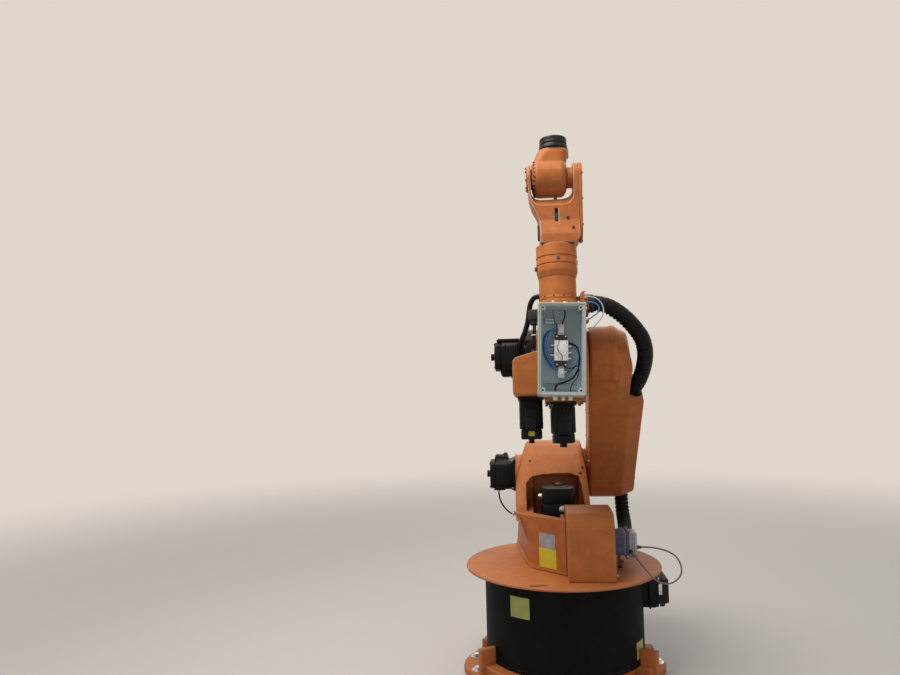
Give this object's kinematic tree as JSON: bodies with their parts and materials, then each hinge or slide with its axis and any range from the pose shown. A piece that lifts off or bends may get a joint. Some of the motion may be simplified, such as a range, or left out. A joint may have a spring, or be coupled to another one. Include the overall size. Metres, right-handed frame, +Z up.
{
  "type": "industrial robot arm",
  "caption": "Jointed industrial robot arm on a round drum foot, with servo motors, a valve box on its upper arm and black corrugated hoses.",
  "frame": {"origin": "on the column's turning axis, on the foot's lower face", "axes": "+Z up along the column's axis, +Y the arm's forward direction, +X its right side, where the link arm is"},
  "size_m": [0.7691, 0.9108, 1.8999],
  "materials": {
    "orange_casting": "satin paint, scuffed",
    "black_drum": "satin paint",
    "black_motor": "satin paint",
    "black_flange": "oiled black",
    "grey_box": "smooth enamel",
    "grey_plug": "moulded",
    "silver_plug": "die cast",
    "black_hose": "corrugated",
    "thin_cable": "smooth",
    "blue_tube": "smooth air tube",
    "pale_tube": "smooth air tube",
    "black_plastic": "moulded",
    "valve_metal": "anodised"
  },
  "bodies": {
    "base": {"base_foot": "orange_casting", "base_drum": "black_drum", "base_pillar": "orange_casting", "inlet_box": "black_motor", "inlet_hood": "grey_plug"},
    "column": {"turntable_disc": "orange_casting", "column_casting": "orange_casting", "a1_motor": "black_motor", "a2_motor": "black_motor", "rear_cover_box": "orange_casting", "connector_block": "grey_plug", "connector_plug": "silver_plug", "patch_cable": "thin_cable", "a2_gear": "orange_casting", "a2_motor_cable": "thin_cable", "lower_hose": "black_hose"},
    "link_arm": {"link_casting": "orange_casting"},
    "upper_arm": {"a3_gear": "orange_casting", "arm_housing": "orange_casting", "arm_tube": "orange_casting", "arm_collar": "orange_casting", "a3_motor": "black_motor", "motor_flange": "orange_casting", "wrist_motor_left": "black_motor", "wrist_motor_middle": "black_motor", "wrist_motor_inner": "black_motor", "valve_box": "grey_box", "valve_block": "valve_metal", "hose_clamp": "orange_casting", "upper_hose": "black_hose", "cable_bundle": "black_hose", "clamp_tube_pale": "pale_tube", "clamp_tube_blue": "blue_tube", "box_tube_left": "blue_tube", "box_tube_right": "blue_tube", "box_wire_top": "thin_cable", "box_wire_right": "thin_cable"},
    "fork": {"fork_casting": "orange_casting", "belt_cover": "orange_casting", "ear_cover": "orange_casting", "neck_cover": "black_plastic", "valley_plug": "black_plastic"},
    "wrist": {"wrist_housing": "orange_casting"},
    "flange": {"tool_flange": "black_flange"}
  },
  "joints": [
    {"name": "a1_column", "type": "hinge", "parent": "base", "child": "column", "pos_m": [0, 0, 0.375], "axis": [0, 0, 1], "range_deg": [-95, 275]},
    {"name": "a2_link_arm", "type": "hinge", "parent": "column", "child": "link_arm", "pos_m": [0, 0.3, 0.675], "axis": [-1, 0, 0], "range_deg": [-11, 159], "deforming": ["lower_hose"]},
    {"name": "a3_upper_arm", "type": "hinge", "parent": "link_arm", "child": "upper_arm", "pos_m": [0, -0.14989, 1.14414], "axis": [1, 0, 0], "range_deg": [-111, 145], "deforming": ["upper_hose", "clamp_tube_pale", "clamp_tube_blue"]},
    {"name": "a4_fork", "type": "hinge", "parent": "upper_arm", "child": "fork", "pos_m": [0, -0.30418, 1.159], "axis": [0, 0.0958, 0.9954], "range_deg": [-350, 350]},
    {"name": "a5_wrist", "type": "hinge", "parent": "fork", "child": "wrist", "pos_m": [0, -0.24667, 1.75623], "axis": [1, 0, 0], "range_deg": [-130, 130]},
    {"name": "a6_flange", "type": "hinge", "parent": "wrist", "child": "flange", "pos_m": [0.002, -0.24667, 1.75623], "axis": [0, 0.0958, 0.9954], "range_deg": [-350, 350]}
  ]
}
